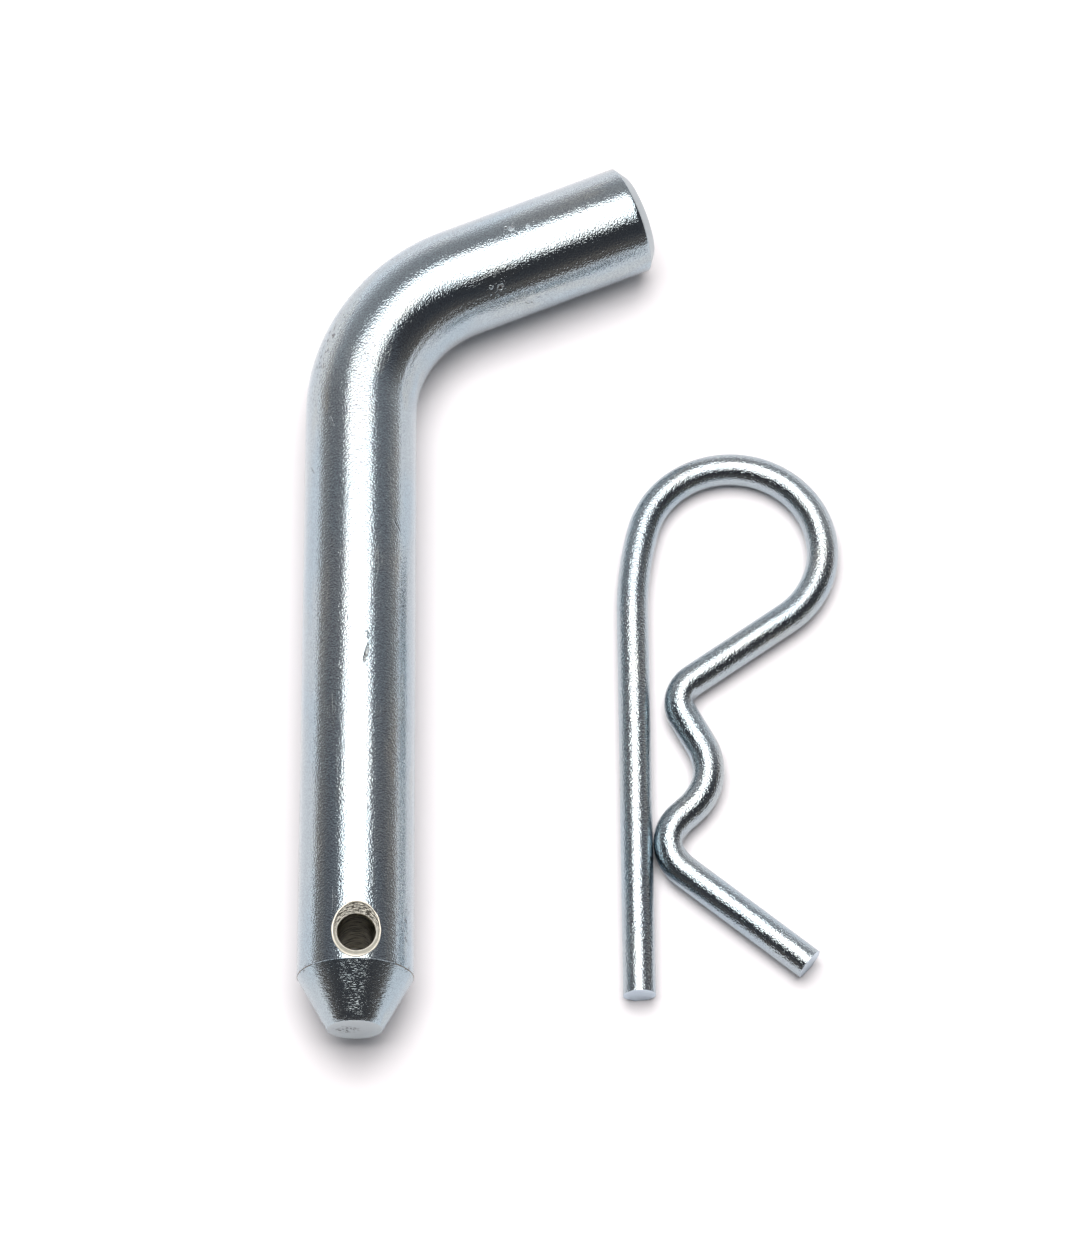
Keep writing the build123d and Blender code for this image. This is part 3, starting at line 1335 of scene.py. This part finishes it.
    def build(self) -> list[bpy.types.Object]:
        """Models and dresses the three lengths of the wire.

        Returns:
            The straight leg, the loop and the spring leg.
        """
        skin = ZincPlate(name="zinc_on_wire", grain_height=0.070 * MM, roughness=0.12).material()
        cut = CutSteel(name="zinc_on_sheared_ends", tint=rgb(0.55, 0.64, 0.72), roughness=0.35).material()
        lines = {"clip_straight_leg_wire": self.leg_line(), "clip_loop_wire": self.loop_line(),
                 "clip_spring_leg_wire": self.spring_line()}
        gone = 0.0
        pieces = []
        for name, line in lines.items():
            first, last = name == "clip_straight_leg_wire", name == "clip_spring_leg_wire"
            piece = self.wire(name, line, first, last)
            if first or last:
                self.slant_end(piece, line, first)
                self.mark_end(piece, line, first)
            wear(piece, line, self.radius, self.nicks(line) if last else [], 0.0)
            write_unbent(piece, line)
            self.shift_along(piece, gone)
            dress(piece, [skin, cut], smooth=40)
            gone += line.length
            pieces.append(piece)
        leg, loop, spring = pieces
        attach(leg, Body.CLIP.value)
        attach(spring, Body.SPRING_LEG.value)
        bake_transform(loop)
        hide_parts("clip_straight_leg")
        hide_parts("clip_spring_leg")
        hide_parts("clip_straight_leg", "clip_spring_leg")
        return pieces

    def shift_along(self, piece: bpy.types.Object, distance: float) -> None:
        """Lets a piece's finish carry on from the length of wire before it."""
        data = piece.data.attributes[UNBENT].data
        flat = np.zeros(len(data) * 3, np.float32)
        data.foreach_get("vector", flat)
        flat[2::3] += distance
        data.foreach_set("vector", flat)


# ---------------------------------------------------------------- the studio


@dataclass
class Studio:
    """White table under one large soft box, with a pale backdrop behind and a dark room in front.

    Sizes are in metres and angles in degrees.

    Attributes:
        aim: The place on the table that the camera looks at.
        tilt: How far the camera leans from straight above.
        swing: How far the camera stands round to the left.
        box_left: How far the lamps hang left of that place.
        box_forward: How far the lamps hang beyond it, seen from the camera.
        box_glow: How bright the soft box is.
        fill_glow: How bright the lamp is that shiny things don't reflect.
    """

    aim: Vector = field(default_factory=lambda: Vector((-4.665 * MM, -2.23 * MM, 0.0)))
    distance: float = 0.6147
    tilt: float = 24.5
    swing: float = 0.45
    lens: float = 143.95
    box_height: float = 0.6
    box_width: float = 0.55
    box_depth: float = 0.57
    box_left: float = 0.030
    box_forward: float = 0.10
    box_glow: float = 3.6
    fill_glow: float = 2.5

    def table(self) -> None:
        """Adds the table; it glows a little more the farther it is from the soft box, so it stays white."""
        deselect_all()
        bpy.ops.mesh.primitive_plane_add(size=6.0)
        table = bpy.context.object
        table.name = "table"
        material = bpy.data.materials.new("white_table")
        material.use_nodes = True
        sheet = Sheet(material.node_tree)
        x, y, _ = sheet.parts(sheet.node("ShaderNodeTexCoord").outputs["Object"])
        spread = (x * x + y * y) / (self.box_height * self.box_height) + 1
        glow = sheet.mixed(1 / (spread * spread), rgb(1.12, 1.12, 1.13), rgb(0.0, 0.0, 0.0))
        shader = sheet.node("ShaderNodeBsdfPrincipled", {}, {
            "Base Color": rgb(0.93, 0.925, 0.935), "Roughness": 0.75, "Specular IOR Level": 0.2,
            "Emission Color": glow, "Emission Strength": 1.0})
        sheet.node("ShaderNodeOutputMaterial", {}, {"Surface": shader.outputs[0]})
        table.data.materials.append(material)

    def lamp(self, name: str, glow: float, colour: tuple[float, float, float], mirrored: bool) -> None:
        """Hangs a soft lamp over the table.

        Args:
            name: The lamp's name.
            glow: How bright its face is.
            colour: Its light's colour.
            mirrored: Whether shiny things reflect it.
        """
        light = bpy.data.lights.new(name, "AREA")
        light.shape = "RECTANGLE"
        light.size = self.box_width
        light.size_y = self.box_depth
        light.energy = glow * math.pi * self.box_width * self.box_depth
        light.color = colour
        lamp = bpy.data.objects.new(name, light)
        lamp.location = (self.aim.x - self.box_left, self.aim.y + self.box_forward, self.box_height)
        lamp.visible_camera = False
        lamp.visible_glossy = mirrored
        bpy.context.scene.collection.objects.link(lamp)

    def room(self) -> None:
        """Sets what the metal reflects around the table."""
        world = bpy.data.worlds.new("room")
        world.use_nodes = True
        bpy.context.scene.world = world
        sheet = Sheet(world.node_tree)
        way = sheet.node("ShaderNodeTexCoord").outputs["Generated"]
        x, y, z = sheet.parts(way)
        back = y / (x * x + y * y + 0.0001).root()
        low = 1 - z.between(0.0, 0.62)
        behind = back.between(0.15, 0.85)
        before = (-1 * back).between(0.15, 0.85)
        sides = 0.075 + low * 0.14
        glow = sides * (1 - before * 0.1) + behind * (0.40 + low * low * 0.60)
        colour = sheet.mixed(low.between(0.0, 0.6), rgb(0.98, 0.96, 1.06), rgb(1.16, 0.99, 0.90))
        colour = sheet.mixed(behind, colour, rgb(1.04, 0.98, 0.98))
        seen = sheet.node("ShaderNodeLightPath").outputs["Is Camera Ray"]
        room = sheet.node("ShaderNodeBackground", {}, {"Color": colour, "Strength": glow})
        plain = sheet.node("ShaderNodeBackground", {}, {"Color": rgb(1, 1, 1), "Strength": 1.0})
        both = sheet.node("ShaderNodeMixShader", {}, {0: seen, 1: room.outputs[0], 2: plain.outputs[0]})
        sheet.node("ShaderNodeOutputWorld", {}, {"Surface": both.outputs[0]})

    def camera(self) -> None:
        """Places the camera above the table's near side."""
        data = bpy.data.cameras.new("camera")
        data.sensor_fit = "HORIZONTAL"
        data.sensor_width = 36.0
        data.lens = self.lens
        data.clip_start = 0.01
        camera = bpy.data.objects.new("camera", data)
        tilt, swing = math.radians(self.tilt), math.radians(self.swing)
        level = Vector((-math.sin(swing), -math.cos(swing), 0.0))
        camera.location = self.aim + (level * math.sin(tilt) + UP * math.cos(tilt)) * self.distance
        camera.rotation_euler = (tilt, 0.0, -swing)
        bpy.context.scene.collection.objects.link(camera)
        bpy.context.scene.camera = camera

    def build(self) -> None:
        """Sets up table, light, room and camera."""
        self.table()
        self.lamp("soft_box", self.box_glow, (1.03, 0.97, 0.92), mirrored=True)
        self.lamp("fill_light", self.fill_glow, (0.97, 0.98, 1.10), mirrored=False)
        self.room()
        self.camera()
        bpy.context.scene.view_settings.view_transform = "Standard"


def main() -> None:
    """Builds everything and reports each piece."""
    logging.basicConfig(level=logging.INFO, format="%(name)s: %(message)s")
    noise.seed_set(7)
    pieces = HitchPin().build() + RClip().build()
    for piece in pieces:
        LOG.info("%s: %d faces", piece.name, len(piece.data.polygons))
    Studio().build()
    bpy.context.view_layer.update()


if __name__ == "__main__":
    main()
